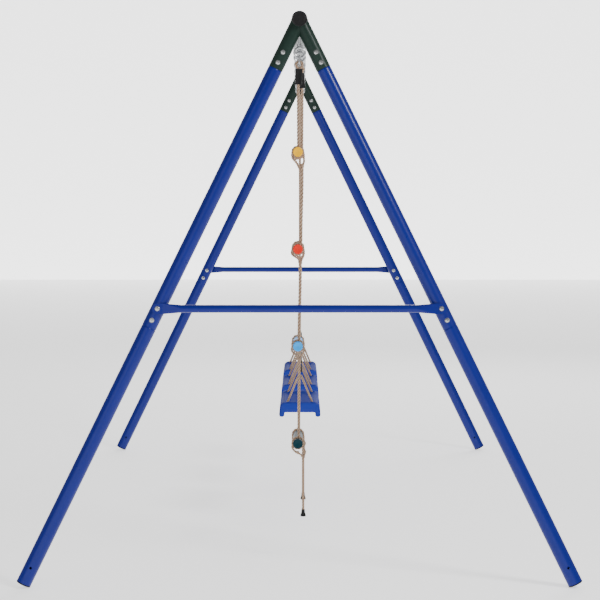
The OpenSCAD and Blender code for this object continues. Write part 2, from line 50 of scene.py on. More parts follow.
# ---------------------------------------------------------------- numbers shared with the CAD, in metres
MM = 0.001
APEX_Y, APEX_Z, LEG, LEAN = 1490, 1825.7, 25.9, 3.43
TR, TI = 24.0, 22.5
EYE_Z = APEX_Z - 82.2
PIVOT = EYE_Z - 17.5 + 5 + 3.3 + 0.4
THIMBLE_Z = PIVOT - 32.5 - 0.3
TH_R = 4.9
SLEEVE_TOP, SLEEVE_H = THIMBLE_Z - 14, 54
CLIP_Z, CLIP_R, CLIP_WIRE = 568, 10, 3
FERRULE_TOP = CLIP_Z + 2 * CLIP_R + 30
SEAT_Y = {"front": -375, "middle": 270, "rear": 915}
ROPE_DY, HOLE_X, SEAT_TOP, SEAT_L, SEAT_W = 185, 51, 478, 430, 155
ROPE_D, LADDER_D = 9.0, 10.0
LADDER_Y = (-1160, -938)
RUNG_X = -6
RUNG_Z = [1402 - 333 * i for i in range(4)]
LOOP_D, GROOVE = 9.6, 13.2
LOOP_R = GROOVE + LOOP_D / 2 + 0.1
LADDER_TILT = (2.3, -4.5)
TAIL_LOW = [168, 190]

# ---------------------------------------------------------------- materials
def new_mat(name):
    m = bpy.data.materials.new(name)
    m.use_nodes = True
    nt = m.node_tree
    return m, nt, nt.nodes["Principled BSDF"]

def node(nt, kind, **kw):
    n = nt.nodes.new(kind)
    for k, v in kw.items():
        if k in n.inputs.keys():
            n.inputs[k].default_value = v
        else:
            setattr(n, k, v)
    return n

def coords(nt, scale=(1, 1, 1)):
    tc = node(nt, "ShaderNodeTexCoord")
    mp = node(nt, "ShaderNodeMapping")
    mp.inputs["Scale"].default_value = scale
    nt.links.new(tc.outputs["Object"], mp.inputs["Vector"])
    return mp.outputs["Vector"]

def ramp(nt, fac, stops):
    r = node(nt, "ShaderNodeValToRGB")
    e = r.color_ramp.elements
    while len(e) < len(stops):
        e.new(0.5)
    for i, (p, c) in enumerate(stops):
        e[i].position = p
        e[i].color = (*c, 1) if len(c) == 3 else c
    nt.links.new(fac, r.inputs["Fac"])
    return r.outputs["Color"]

def shade(c, k):
    return tuple(min(1.0, max(0.0, x * k)) for x in c)

def plastic_like(name, base, rough=0.35, mottle=0.12, peel=700.0, peel_depth=0.06, coat=0.0, coat_rough=0.1,
                 dust=0.0, wear=0.0, wear_col=(0.5, 0.5, 0.5), spec=0.5, rough_var=0.08, scuff=0.0, sss=0.0):
    m, nt, b = new_mat(name)
    vec = coords(nt)
    big = node(nt, "ShaderNodeTexNoise", Scale=7.0, Detail=4.0, Roughness=0.6)
    nt.links.new(vec, big.inputs["Vector"])
    col = ramp(nt, big.outputs["Fac"], [(0.25, shade(base, 1 - mottle)), (0.75, shade(base, 1 + mottle))])
    fine = node(nt, "ShaderNodeTexNoise", Scale=peel, Detail=2.0, Roughness=0.5)
    nt.links.new(vec, fine.inputs["Vector"])
    if wear > 0:
        geo = node(nt, "ShaderNodeNewGeometry")
        edge = node(nt, "ShaderNodeMapRange")
        edge.inputs["From Min"].default_value, edge.inputs["From Max"].default_value = 0.53, 0.62
        nt.links.new(geo.outputs["Pointiness"], edge.inputs["Value"])
        spots = node(nt, "ShaderNodeTexNoise", Scale=160.0, Detail=6.0, Roughness=0.7)
        nt.links.new(vec, spots.inputs["Vector"])
        mul = node(nt, "ShaderNodeMath", operation="MULTIPLY")
        nt.links.new(edge.outputs["Result"], mul.inputs[0])
        nt.links.new(spots.outputs["Fac"], mul.inputs[1])
        amt = node(nt, "ShaderNodeMath", operation="MULTIPLY")
        nt.links.new(mul.outputs[0], amt.inputs[0])
        amt.inputs[1].default_value = wear
        mix = node(nt, "ShaderNodeMix", data_type="RGBA")
        nt.links.new(amt.outputs[0], mix.inputs["Factor"])
        nt.links.new(col, mix.inputs["A"])
        mix.inputs["B"].default_value = (*wear_col, 1)
        col = mix.outputs["Result"]
    if dust > 0:
        dn = node(nt, "ShaderNodeTexNoise", Scale=38.0, Detail=8.0, Roughness=0.75)
        nt.links.new(vec, dn.inputs["Vector"])
        dr = node(nt, "ShaderNodeMapRange")
        dr.inputs["From Min"].default_value, dr.inputs["From Max"].default_value = 0.52, 0.85
        dr.inputs["To Max"].default_value = dust
        nt.links.new(dn.outputs["Fac"], dr.inputs["Value"])
        mix2 = node(nt, "ShaderNodeMix", data_type="RGBA")
        nt.links.new(dr.outputs["Result"], mix2.inputs["Factor"])
        nt.links.new(col, mix2.inputs["A"])
        mix2.inputs["B"].default_value = (0.55, 0.54, 0.52, 1)
        col = mix2.outputs["Result"]
    nt.links.new(col, b.inputs["Base Color"])
    rr = node(nt, "ShaderNodeMapRange")
    rr.inputs["To Min"].default_value, rr.inputs["To Max"].default_value = rough - rough_var, rough + rough_var
    rn = node(nt, "ShaderNodeTexNoise", Scale=24.0, Detail=6.0, Roughness=0.65)
    nt.links.new(vec, rn.inputs["Vector"])
    nt.links.new(rn.outputs["Fac"], rr.inputs["Value"])
    nt.links.new(rr.outputs["Result"], b.inputs["Roughness"])
    bump = node(nt, "ShaderNodeBump", Strength=peel_depth * 4, Distance=0.00025)
    nt.links.new(fine.outputs["Fac"], bump.inputs["Height"])
    last = bump
    if scuff > 0:
        wv = node(nt, "ShaderNodeTexNoise", Scale=300.0, Detail=3.0, Roughness=0.6)
        nt.links.new(coords(nt, (1, 0.05, 1)), wv.inputs["Vector"])
        b2 = node(nt, "ShaderNodeBump", Strength=scuff, Distance=0.0002)
        nt.links.new(wv.outputs["Fac"], b2.inputs["Height"])
        nt.links.new(bump.outputs["Normal"], b2.inputs["Normal"])
        last = b2
    nt.links.new(last.outputs["Normal"], b.inputs["Normal"])
    b.inputs["Specular IOR Level"].default_value = spec
    b.inputs["Coat Weight"].default_value = coat
    b.inputs["Coat Roughness"].default_value = coat_rough
    if sss > 0:
        b.inputs["Subsurface Weight"].default_value = sss
        b.inputs["Subsurface Radius"].default_value = (0.004, 0.003, 0.002)
    return m

def metal(name, base=(0.72, 0.73, 0.74), rough=0.28, thread_pitch=0.0, brushed=0.0):
    m, nt, b = new_mat(name)
    vec = coords(nt)
    n = node(nt, "ShaderNodeTexNoise", Scale=90.0, Detail=6.0, Roughness=0.7)
    nt.links.new(vec, n.inputs["Vector"])
    nt.links.new(ramp(nt, n.outputs["Fac"], [(0.3, shade(base, 0.78)), (0.7, shade(base, 1.1))]), b.inputs["Base Color"])
    b.inputs["Metallic"].default_value = 1.0
    rr = node(nt, "ShaderNodeMapRange")
    rr.inputs["To Min"].default_value, rr.inputs["To Max"].default_value = rough - 0.1, rough + 0.14
    nt.links.new(n.outputs["Fac"], rr.inputs["Value"])
    nt.links.new(rr.outputs["Result"], b.inputs["Roughness"])
    fine = node(nt, "ShaderNodeTexNoise", Scale=1400.0, Detail=2.0)
    nt.links.new(vec, fine.inputs["Vector"])
    bump = node(nt, "ShaderNodeBump", Strength=0.18, Distance=0.0002)
    nt.links.new(fine.outputs["Fac"], bump.inputs["Height"])
    nt.links.new(bump.outputs["Normal"], b.inputs["Normal"])
    return m

def rope_mat(name, base):
    m, nt, b = new_mat(name)
    vec = coords(nt)
    fib = node(nt, "ShaderNodeTexNoise", Scale=1500.0, Detail=4.0, Roughness=0.7)
    nt.links.new(coords(nt, (1, 1, 0.28)), fib.inputs["Vector"])
    big = node(nt, "ShaderNodeTexNoise", Scale=60.0, Detail=3.0, Roughness=0.6)
    nt.links.new(vec, big.inputs["Vector"])
    c1 = ramp(nt, fib.outputs["Fac"], [(0.28, shade(base, 0.62)), (0.5, base), (0.78, shade(base, 1.35))])
    c2 = ramp(nt, big.outputs["Fac"], [(0.3, (0.80, 0.78, 0.76)), (0.7, (1, 1, 1))])
    mix = node(nt, "ShaderNodeMix", data_type="RGBA", blend_type="MULTIPLY")
    mix.inputs["Factor"].default_value = 1.0
    nt.links.new(c1, mix.inputs["A"])
    nt.links.new(c2, mix.inputs["B"])
    # painted shade darkens the grooves between strands (with some dirt in them), and the strand crowns get a faint
    # painted highlight
    at = node(nt, "ShaderNodeAttribute", attribute_name="groove")
    painted_groove_shade = ramp(nt, at.outputs["Fac"], [(0.0, (0.42, 0.37, 0.33)), (0.5, (0.95, 0.95, 0.95)), (1.0, (1.08, 1.06, 1.04))])
    mix2 = node(nt, "ShaderNodeMix", data_type="RGBA", blend_type="MULTIPLY")
    mix2.inputs["Factor"].default_value = 1.0
    nt.links.new(mix.outputs["Result"], mix2.inputs["A"])
    nt.links.new(painted_groove_shade, mix2.inputs["B"])
    nt.links.new(mix2.outputs["Result"], b.inputs["Base Color"])
    b.inputs["Roughness"].default_value = 0.78
    b.inputs["Sheen Weight"].default_value = 0.25
    b.inputs["Sheen Roughness"].default_value = 0.5
    b.inputs["Specular IOR Level"].default_value = 0.3
    bump = node(nt, "ShaderNodeBump", Strength=0.55, Distance=0.0004)
    nt.links.new(fib.outputs["Fac"], bump.inputs["Height"])
    nt.links.new(bump.outputs["Normal"], b.inputs["Normal"])
    return m

BLUE = plastic_like("blue_powder_coat", (0.003, 0.0085, 0.17), rough=0.30, mottle=0.08, peel=900, peel_depth=0.10, coat=0.08, coat_rough=0.12, wear=0.3, wear_col=(0.02, 0.035, 0.24), dust=0.006, spec=0.2)
GREEN = plastic_like("green_powder_coat", (0.0125, 0.027, 0.021), rough=0.36, mottle=0.1, peel=800, peel_depth=0.16, coat=0.03, coat_rough=0.15, wear=0.3, wear_col=(0.04, 0.06, 0.05), dust=0.01, spec=0.1)
BLACK = plastic_like("black_plastic", (0.0035, 0.0035, 0.004), rough=0.5, mottle=0.15, peel=1200, peel_depth=0.22, dust=0.06, wear=0.15, wear_col=(0.05, 0.05, 0.05), spec=0.25)
ZINC = metal("zinc_plate", (0.50, 0.51, 0.52), 0.24)
BOLT = metal("bolt_zinc", (0.52, 0.53, 0.53), 0.22)
ROPE = rope_mat("rope_beige", (0.47, 0.33, 0.23))
SEAT = plastic_like("seat_blue", (0.020, 0.036, 0.28), rough=0.46, mottle=0.10, peel=500, peel_depth=0.3, dust=0.01, wear=0.35, wear_col=(0.04, 0.08, 0.42), spec=0.0, coat=0.08, coat_rough=0.25, scuff=0.2)
RUNG = [
    plastic_like("rung_yellow", (0.98, 0.50, 0.0), rough=0.42, mottle=0.04, peel=650, peel_depth=0.14, spec=0.08),
    plastic_like("rung_red", (0.78, 0.015, 0.004), rough=0.42, mottle=0.05, peel=650, peel_depth=0.14, spec=0.2),
    plastic_like("rung_light_blue", (0.008, 0.37, 0.92), rough=0.42, mottle=0.05, peel=650, peel_depth=0.14, spec=0.2),
    plastic_like("rung_teal", (0.003, 0.032, 0.046), rough=0.42, mottle=0.08, peel=650, peel_depth=0.14, spec=0.1)]

def give(name, mat):
    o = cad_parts[name]
    o.data.materials.clear()
    o.data.materials.append(mat)
    return o

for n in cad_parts:
    if n.startswith(("beam_front", "beam_rear", "apex")):
        give(n, GREEN)
    elif n.startswith(("upper", "lower", "cross")):
        give(n, BLUE)
    elif n.startswith(("beam_end", "foot_caps", "swing_clips", "swing_sleeves", "ladder_sleeves", "tail_cap")):
        give(n, BLACK)
    elif n.startswith("seat_"):
        give(n, SEAT)
    elif n.startswith("rung_"):
        give(n, RUNG[int(n[-1]) - 1])
    elif "ropes" in n or n.startswith("ladder_tail"):
        give(n, ROPE)
    elif n.startswith("frame_"):
        give(n, BOLT)
    else:
        give(n, ZINC)

# ---------------------------------------------------------------- mesh helpers
def add(name, verts, faces, mat, body, smooth=True, angle=40):
    me = bpy.data.meshes.new(name)
    me.from_pydata([tuple(v) for v in verts], [], faces)
    me.update()
    o = bpy.data.objects.new(name, me)
    bpy.context.scene.collection.objects.link(o)
    me.materials.append(mat)
    if smooth:
        for p in me.polygons:
            p.use_smooth = True
        if angle < 180:
            me.set_sharp_from_angle(angle=math.radians(angle))
    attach(o, body)
    return o

def catmull(pts, step):
    """A smooth line through the points, resampled about step apart."""
    P = [Vector(p) for p in pts]
    P = [P[0] * 2 - P[1]] + P + [P[-1] * 2 - P[-2]]
    out = []
    for i in range(1, len(P) - 2):
        a, b, c, d = P[i - 1], P[i], P[i + 1], P[i + 2]
        n = max(2, math.ceil((c - b).length / (step * 0.5)))
        for k in range(n):
            t = k / n
            out.append(0.5 * ((2 * b) + (c - a) * t + (2 * a - 5 * b + 4 * c - d) * t * t + (3 * b - a - 3 * c + d) * t ** 3))
    out.append(P[-2].copy())
    return resample(out, step)

def resample(line, step):
    d = [0.0]
    for i in range(1, len(line)):
        d.append(d[-1] + (line[i] - line[i - 1]).length)
    n = max(2, round(d[-1] / step))
    out, j = [], 0
    for i in range(n + 1):
        s = d[-1] * i / n
        while j < len(d) - 2 and d[j + 1] < s:
            j += 1
        t = (s - d[j]) / max(d[j + 1] - d[j], 1e-12)
        out.append(line[j].lerp(line[j + 1], min(max(t, 0), 1)))
    return out

LOBES, PER = 3, 8
SQUEEZE_Z = (SLEEVE_TOP - SLEEVE_H - 22) * MM
def strand_profile():
    prof = []
    c, a = 0.56, 0.44
    for k in range(LOBES * PER):
        phi = (k % PER) / PER * (2 * math.pi / LOBES) - math.pi / LOBES
        r2 = a * a - (c * math.sin(phi)) ** 2
        r = c * math.cos(phi) + math.sqrt(max(r2, 0.0))
        prof.append(max(r, 0.66))
    return prof
PROFILE = strand_profile()

def rope_mesh(lines, d, pitch=3.1, phase=0.0, taper=True, closed=(), squeeze=1.0):
    """Verts, faces and groove values of a laid three-strand rope along each line."""
    d = d * MM
    verts, faces, groove = [], [], []
    for li, line in enumerate(lines):
        loop = li in closed
        m = len(line)
        base = len(verts)
        t0 = (line[1] - line[0]).normalized()
        up = Vector((0, 1, 0)) if abs(t0.y) < 0.9 else Vector((1, 0, 0))
        nrm = (up - t0 * up.dot(t0)).normalized()
        s = 0.0
        total = sum((line[i] - line[i - 1]).length for i in range(1, m))
        turns = total / (pitch * d)
        if loop:
            total += (line[0] - line[-1]).length
            turns = round(total / (pitch * d) * LOBES) / LOBES
        for i in range(m):
            if loop:
                t = (line[(i + 1) % m] - line[i - 1]).normalized()
            else:
                t = (line[min(i + 1, m - 1)] - line[max(i - 1, 0)]).normalized()
            nrm = (nrm - t * nrm.dot(t)).normalized()
            bi = t.cross(nrm)
            if i:
                s += (line[i] - line[i - 1]).length
            ang = phase + 2 * math.pi * turns * s / total
            k2 = 1.0
            if taper and not loop:
                e = min(s, total - s)
                k2 = min(1.0, 0.45 + 0.55 * math.sqrt(max(0.0, min(1.0, e / (0.35 * d)))))
            k2 *= 1 - (1 - squeeze) * min(1.0, max(0.0, (line[i].z - SQUEEZE_Z) / 0.02))
            for k, r in enumerate(PROFILE):
                a = 2 * math.pi * k / len(PROFILE) + ang
                verts.append(line[i] + (nrm * math.cos(a) + bi * math.sin(a)) * (r * d / 2 * k2))
                groove.append((r - 0.66) / 0.34)
        n = len(PROFILE)
        for i in range(m if loop else m - 1):
            for k in range(n):
                q = (k + 1) % n
                j = (i + 1) % m
                sh = round(turns * n) if loop and i == m - 1 else 0
                faces.append((base + i * n + k, base + i * n + q, base + j * n + (q + sh) % n, base + j * n + (k + sh) % n))
        if not loop:
            faces.append(tuple(base + k for k in range(n - 1, -1, -1)))
            faces.append(tuple(base + (m - 1) * n + k for k in range(n)))
    return verts, faces, groove

def rope_piece(name, lines, d, body, nodes=(), pitch=3.1, closed=(), step=None):
    verts, faces, groove = rope_mesh(lines, d, pitch=pitch, closed=closed)
    o = add(name, verts, faces, ROPE, body, angle=180)
    at = o.data.attributes.new("groove", "FLOAT", "POINT")
    at.data.foreach_set("value", groove)
    if nodes:
        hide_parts(*nodes)
    return o

def V(x, y, z):
    return Vector((x * MM, y * MM, z * MM))

# ---------------------------------------------------------------- ropes
def eye_line(y, d, low, x_low=0.0, side=-1, tilt=0.0):
    """One rope: up through the sleeve, round the thimble and back down into the sleeve."""
    R = TH_R + 1.15 + d / 2
    g = d / 2 + 0.15
    sl = SLEEVE_TOP - SLEEVE_H
    ca, sa = math.cos(math.radians(tilt)), math.sin(math.radians(tilt))
    pts = [(0, sl - 12), (0, sl), (side * g * 0.3, sl + 9), (side * g * 0.75, sl + 18), (side * g, sl + 26), (side * g, SLEEVE_TOP)]
    for a in range(205, -26, -23):
        x = R * math.cos(math.radians(a))
        pts.append((x if side < 0 else -x, THIMBLE_Z + R * math.sin(math.radians(a))))
    pts += [(-side * g, SLEEVE_TOP), (-side * g, sl + 24)]
    pts = [(x * ca + (z - PIVOT) * sa, PIVOT + (z - PIVOT) * ca - x * sa) for x, z in pts]
    x0, top = pts[0]
    n = max(1, round((top - low) / 60))
    run = []
    for i in range(n):
        t = i / n
        run.append((x_low + (x0 - x_low) * t * t * (3 - 2 * t), low + (top - low) * t))
    return catmull([V(x, y, z) for x, z in run + pts], d * 0.24 * MM)

YDROP = CLIP_Z - SEAT_TOP + 12
YR = CLIP_WIRE + 0.45 + ROPE_D / 2
YTILT = math.atan2(HOLE_X, YDROP) - math.asin(YR / math.hypot(HOLE_X, YDROP))
def yoke_line(y):
    pts = [(-HOLE_X, -YDROP - 24), (-HOLE_X, -YDROP - 6), (-HOLE_X + 1.5, -YDROP + 2)]
    a0, a1 = (-YR * math.cos(YTILT), YR * math.sin(YTILT)), (-HOLE_X + 1.5, -YDROP + 2)
    pts += [(a1[0] + (a0[0] - a1[0]) * t, a1[1] + (a0[1] - a1[1]) * t) for t in (0.33, 0.66)]
    for n in range(7):
        a = math.pi - YTILT - n * (math.pi - 2 * YTILT) / 6
        pts.append((YR * math.cos(a), YR * math.sin(a)))
    pts += [(-x, z) for x, z in reversed(pts[:5])]
    return catmull([V(x, y, CLIP_Z + z) for x, z in pts], ROPE_D * 0.24 * MM)

def knot_lines(x, y, z, r, d):
    """A closed stop knot: three wraps that cross over each other."""
    pts = []
    for i in range(72):
        t = 2 * math.pi * i / 72
        pts.append(V(x + (r + 0.34 * r * math.cos(3 * t)) * math.cos(2 * t) * 0.62,
                     y + (r + 0.34 * r * math.cos(3 * t)) * math.sin(2 * t) * 0.62,
                     z + 0.42 * r * math.sin(3 * t)))
    return pts

for n, y0 in SEAT_Y.items():
    rope_piece(f"hanging_ropes_{n}", [eye_line(y0 + s * ROPE_DY, ROPE_D, FERRULE_TOP - 20) for s in (-1, 1)],
               ROPE_D, "hanger_" + n, [f"swing_ropes_{n}"])
    lines = [yoke_line(y0 + s * ROPE_DY) for s in (-1, 1)]
    knots = [knot_lines(sx * HOLE_X, y0 + s * ROPE_DY, CLIP_Z - YDROP - 24, 6.2, 5) for s in (-1, 1) for sx in (-1, 1)]
    rope_piece(f"seat_yokes_{n}", lines, ROPE_D, "swing_seat_" + n, [f"yoke_ropes_{n}"])
    rope_piece(f"stop_knots_{n}", knots, 5.2, "swing_seat_" + n, closed=range(4))

KNOT_X = [8, 2, -2]
LOOP_IN = [(-4, 8), (4, 4), (-2, -2), (-3, -3)]
DROP = 46
TAIL_X = 12
TAIL_TOP = RUNG_Z[3] - DROP - 8

def ring_line(y, z, phase=0.0):
    n = 60
    return [V(RUNG_X + LOOP_R * math.cos(2 * math.pi * i / n), y, z + LOOP_R * math.sin(2 * math.pi * i / n)) for i in range(n)]

def vee_lines(y, z, kx):
    """The two strands that leave a loop's sides and cross into the knot below it."""
    L = [(RUNG_X - 21.0, -5), (RUNG_X - 19.6, -19), (kx - 8, -DROP + 13), (kx + 1.5, -DROP - 2)]
    if z == RUNG_Z[0]:
        L = [(RUNG_X - 21.0, -5), (RUNG_X - 18.6, -18), (RUNG_X - 7, -32), (-6.0, -44), (kx - 8.2, -58), (kx - 5.5, -68)]
    elif z == RUNG_Z[3]:
        L = [(RUNG_X - 20.6, -8), (RUNG_X - 17.0, -21), (-12, -32), (-5, -35.5), (3, -39), (kx - 1, -DROP - 1)]
    R = [(RUNG_X + 21.2, -5), (RUNG_X + 20.6, -19), (kx + 7, -DROP + 13), (kx - 1.5, -DROP - 2)]
    return [catmull([V(x, y + dy * min(1, i / 3) ** 2, z + zz) for i, (x, zz) in enumerate(S)], 1.7 * MM) for S, dy in ((L, -2.2), (R, 2.2))]

def wrap_line(x, y, z, r, h, turns):
    n = int(26 * turns)
    return [V(x + r * math.cos(2 * math.pi * turns * i / n), y + r * math.sin(2 * math.pi * turns * i / n), z + h * (0.5 - i / n)) for i in range(n + 1)]

def merged(name, parts, body, nodes):
    """Several rope runs of different thickness as one piece."""
    verts, faces, groove = [], [], []
    for lines, d, closed in parts:
        v, f, g = rope_mesh(lines, d, closed=closed, squeeze=0.86 if d > 11 and body == "ladder_stage_1" else 1.0)
        k = len(verts)
        verts += v
        faces += [tuple(i + k for i in q) for q in f]
        groove += g
    o = add(name, verts, faces, ROPE, body, angle=180)
    o.data.attributes.new("groove", "FLOAT", "POINT").data.foreach_set("value", groove)
    if nodes:
        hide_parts(*nodes)
    return o

# the ladder's ropes, one piece for each stage
lines = []
for i, y in enumerate(LADDER_Y):
    lines.append(eye_line(y, LADDER_D, RUNG_Z[0] + (LOOP_R - 1 if i == 0 else 12), x_low=LOOP_IN[0][i], tilt=LADDER_TILT[i]))
merged("ladder_rope_stage_1", [(lines, 11.5, ()), ([ring_line(y, RUNG_Z[0]) for y in LADDER_Y], 10.4, (0, 1))], "ladder_stage_1", ["ladder_ropes_1"])
for k in (1, 2, 3):
    z0, z1, kx = RUNG_Z[k - 1], RUNG_Z[k], KNOT_X[k - 1]
    runs = []
    for i, y in enumerate(LADDER_Y):
        x1 = LOOP_IN[k][i]
        top, low = z0 - DROP + 2, z1 + LOOP_R - 1
        pts = [(kx, top), (kx, top - 24), (kx, top - 48)]
        n = 6
        for j in range(1, n + 1):
            t = j / n
            pts.append((kx + (x1 - kx) * t * t * (3 - 2 * t), top - 48 + (low + 20 - top + 48) * t))
        pts.append((x1, low))
        runs.append(catmull([V(x, y, z) for x, z in pts], LADDER_D * 0.24 * MM))
    vees = [l for y in LADDER_Y for l in vee_lines(y, z0, kx)]
    wraps = [wrap_line(kx, y, z0 - DROP + 1, 5.6, 9, 2.2) for y in LADDER_Y]
    parts = [(runs, (13.0, 12.0, 10.5)[k - 1], ()), (vees, 7.6, ()), (wraps, 4.6, ()), ([ring_line(y, z1) for y in LADDER_Y], 10.4, (0, 1))]
    if k == 3:
        parts.append(([l for y in LADDER_Y for l in vee_lines(y, z1, TAIL_X)], 7.6, ()))
        parts.append(([wrap_line(TAIL_X, y, z1 - DROP + 1, 5.2, 10, 2.2) for y in LADDER_Y], 4.6, ()))
        parts.append(([knot_lines(-8, y, z1 - 32, 5.4, 5) for y in LADDER_Y], 5.0, (0, 1)))
    merged(f"ladder_rope_stage_{k + 1}", parts, f"ladder_stage_{k + 1}", [f"ladder_ropes_{k + 1}"])

for i, n in enumerate(("near", "far")):
    z1, z0 = TAIL_LOW[i], TAIL_TOP + 6
    line = resample([V(TAIL_X, LADDER_Y[i], z0 + (z1 - z0) * t / 8) for t in range(9)], LADDER_D * 0.24 * MM)
    o = rope_piece(f"ladder_tail_rope_{n}", [line], 9.6, "tail_" + n, [f"ladder_tail_{n}"])

# ---------------------------------------------------------------- seats
def smooth01(t):
    t = min(1.0, max(0.0, t))
    return t * t * (3 - 2 * t)

def seat_ring(yy):
    """The closed outline across the seat at yy from its middle, in mm, and its height for each point."""
    d = SEAT_L / 2 - abs(yy)
    mid = smooth01((d - 26) / 30)
    deck = 38 - 12 * smooth01((d - 34) / 20)
    top = -6.5 * mid
    rail_z = -55 + 5 * smooth01((d - 40) / 60)
    w_low, w_top, wall = 77.5, 74.5, 19.5
    r_in, r_out, r_top = 8.2, 8.2, 21.0
    pts = []
    def arc(cx, cz, r, a0, a1, n, rz=None):
        for i in range(n + 1):
            a = math.radians(a0 + (a1 - a0) * i / n)
            pts.append((cx + r * math.cos(a), cz + (rz or r) * math.sin(a)))
    xi = w_low - wall
    # right half, from the channel's middle round to the top's middle
    half = []
    for x in [xi * i / 10 for i in range(0, 10)]:
        half.append((x, -deck))
    f = 5.0
    for i in range(5):
        a = math.radians(90 - 90 * i / 4)
        half.append((xi - f + f * math.cos(a), -deck - f + f * math.sin(a)))
    for i in range(1, 4):
        half.append((xi, -deck - f + (rail_z + r_in - (-deck - f)) * i / 4))
    for i in range(6):
        a = math.radians(180 + 90 * i / 5)
        half.append((xi + r_in + r_in * math.cos(a), rail_z + r_in + r_in * math.sin(a)))
    for i in range(6):
        a = math.radians(270 + 90 * i / 5)
        half.append((w_low - r_out + r_out * math.cos(a), rail_z + r_out + r_out * math.sin(a)))
    z_c = top - r_top
    for i in range(1, 6):
        t = i / 6
        half.append((w_low + (w_top - w_low) * smooth01(t), rail_z + r_out + (z_c - rail_z - r_out) * t))
    for i in range(9):
        a = math.radians(90 * i / 8)
        half.append((w_top - r_top + r_top * math.cos(a), z_c + r_top * math.sin(a)))
    xt = w_top - r_top
    for i in range(1, 13):
        x = xt * (1 - i / 12)
        crown = 1.6 * mid * (1 - (x / xt) ** 2)
        groove = -1.3 * math.exp(-((abs(x) - (xt - 5)) / 2.2) ** 2) * mid
        half.append((x, top - crown + groove))
    return half + [(-x, z) for x, z in reversed(half[1:-1])]

def offset_ring(ring, inset):
    if inset <= 0:
        return ring
    n, out = len(ring), []
    for i in range(n):
        (x0, z0), (x1, z1), (x2, z2) = ring[i - 1], ring[i], ring[(i + 1) % n]
        tx, tz = x2 - x0, z2 - z0
        l = math.hypot(tx, tz) or 1
        out.append((x1 - tz / l * inset, z1 + tx / l * inset))
    return out

def seat_mesh():
    ys = []
    fil = 7.0
    for a in (0, 12, 25, 40, 55, 70, 82, 90):
        ys.append((fil * (1 - math.sin(math.radians(a))), fil * (1 - math.cos(math.radians(90 - a)))))
    # (distance from the end, inset there)
    stations = [(fil - fil * math.cos(math.radians(a)), fil - fil * math.sin(math.radians(a))) for a in (2, 14, 27, 41, 56, 72, 90)]
    inner = [11, 16, 21, 25, 29, 33, 37, 41, 45, 49, 54, 60, 68, 78, 90, 105, 122, 140, 160, 185, 215]
    left = [(-SEAT_L / 2 + d, ins) for d, ins in stations] + [(-SEAT_L / 2 + d, 0.0) for d in inner]
    rows = left + [(-y, ins) for y, ins in reversed(left[:-1])]
    verts, faces = [], []
    m = None
    for y, ins in rows:
        ring = offset_ring(seat_ring(y), ins)
        m = len(ring)
        verts += [(x * MM, y * MM, z * MM) for x, z in ring]
    for i in range(len(rows) - 1):
        for k in range(m):
            q = (k + 1) % m
            faces.append((i * m + k, (i + 1) * m + k, (i + 1) * m + q, i * m + q))
    faces.append(tuple(range(m)))
    faces.append(tuple((len(rows) - 1) * m + k for k in range(m - 1, -1, -1)))
    return verts, faces

def cyl(bm, x, y, z0, z1, r0, r1, n=32):
    a = [bm.verts.new((x + r0 * math.cos(2 * math.pi * i / n), y + r0 * math.sin(2 * math.pi * i / n), z0)) for i in range(n)]
    b = [bm.verts.new((x + r1 * math.cos(2 * math.pi * i / n), y + r1 * math.sin(2 * math.pi * i / n), z1)) for i in range(n)]
    for i in range(n):
        bm.faces.new((a[i], a[(i + 1) % n], b[(i + 1) % n], b[i]))
    bm.faces.new(list(reversed(a)))
    bm.faces.new(b)

def make_seat():
    verts, faces = seat_mesh()
    me = bpy.data.meshes.new("seat_base")
    me.from_pydata(verts, [], faces)
    bm = bmesh.new()
    bm.from_mesh(me)
    bmesh.ops.recalc_face_normals(bm, faces=bm.faces)
    bm.to_mesh(me)
    bm.free()
    o = bpy.data.objects.new("seat_base", me)
    bpy.context.scene.collection.objects.link(o)
    cut = bpy.data.meshes.new("cut")
    bm = bmesh.new()
    for sx in (-1, 1):
        for sy in (-1, 1):
            x, y = sx * HOLE_X * MM, sy * ROPE_DY * MM
            cyl(bm, x, y, -0.07, 0.02, 0.0052, 0.0052)
    bmesh.ops.recalc_face_normals(bm, faces=bm.faces)
    bm.to_mesh(cut)
    bm.free()
    c = bpy.data.objects.new("cut", cut)
    bpy.context.scene.collection.objects.link(c)
    cone = bpy.data.meshes.new("cone")
    bm = bmesh.new()
    for sx in (-1, 1):
        for sy in (-1, 1):
            x, y = sx * HOLE_X * MM, sy * ROPE_DY * MM
            cyl(bm, x, y, -0.010, 0.003, 0.0048, 0.0105)
            cyl(bm, x, y, -0.080, -0.018, 0.0105, 0.0105)
    bmesh.ops.recalc_face_normals(bm, faces=bm.faces)
    bm.to_mesh(cone)
    bm.free()
    c2 = bpy.data.objects.new("cone", cone)
    bpy.context.scene.collection.objects.link(c2)
    for k in (c, c2):
        b = o.modifiers.new("b", "BOOLEAN")
        b.operation, b.object, b.solver = "DIFFERENCE", k, "EXACT"
    dg = bpy.context.evaluated_depsgraph_get()
    out = bpy.data.meshes.new_from_object(o.evaluated_get(dg))
    for k in (o, c, c2):
        bpy.data.objects.remove(k)
    return out

SEAT_MESH = make_seat()

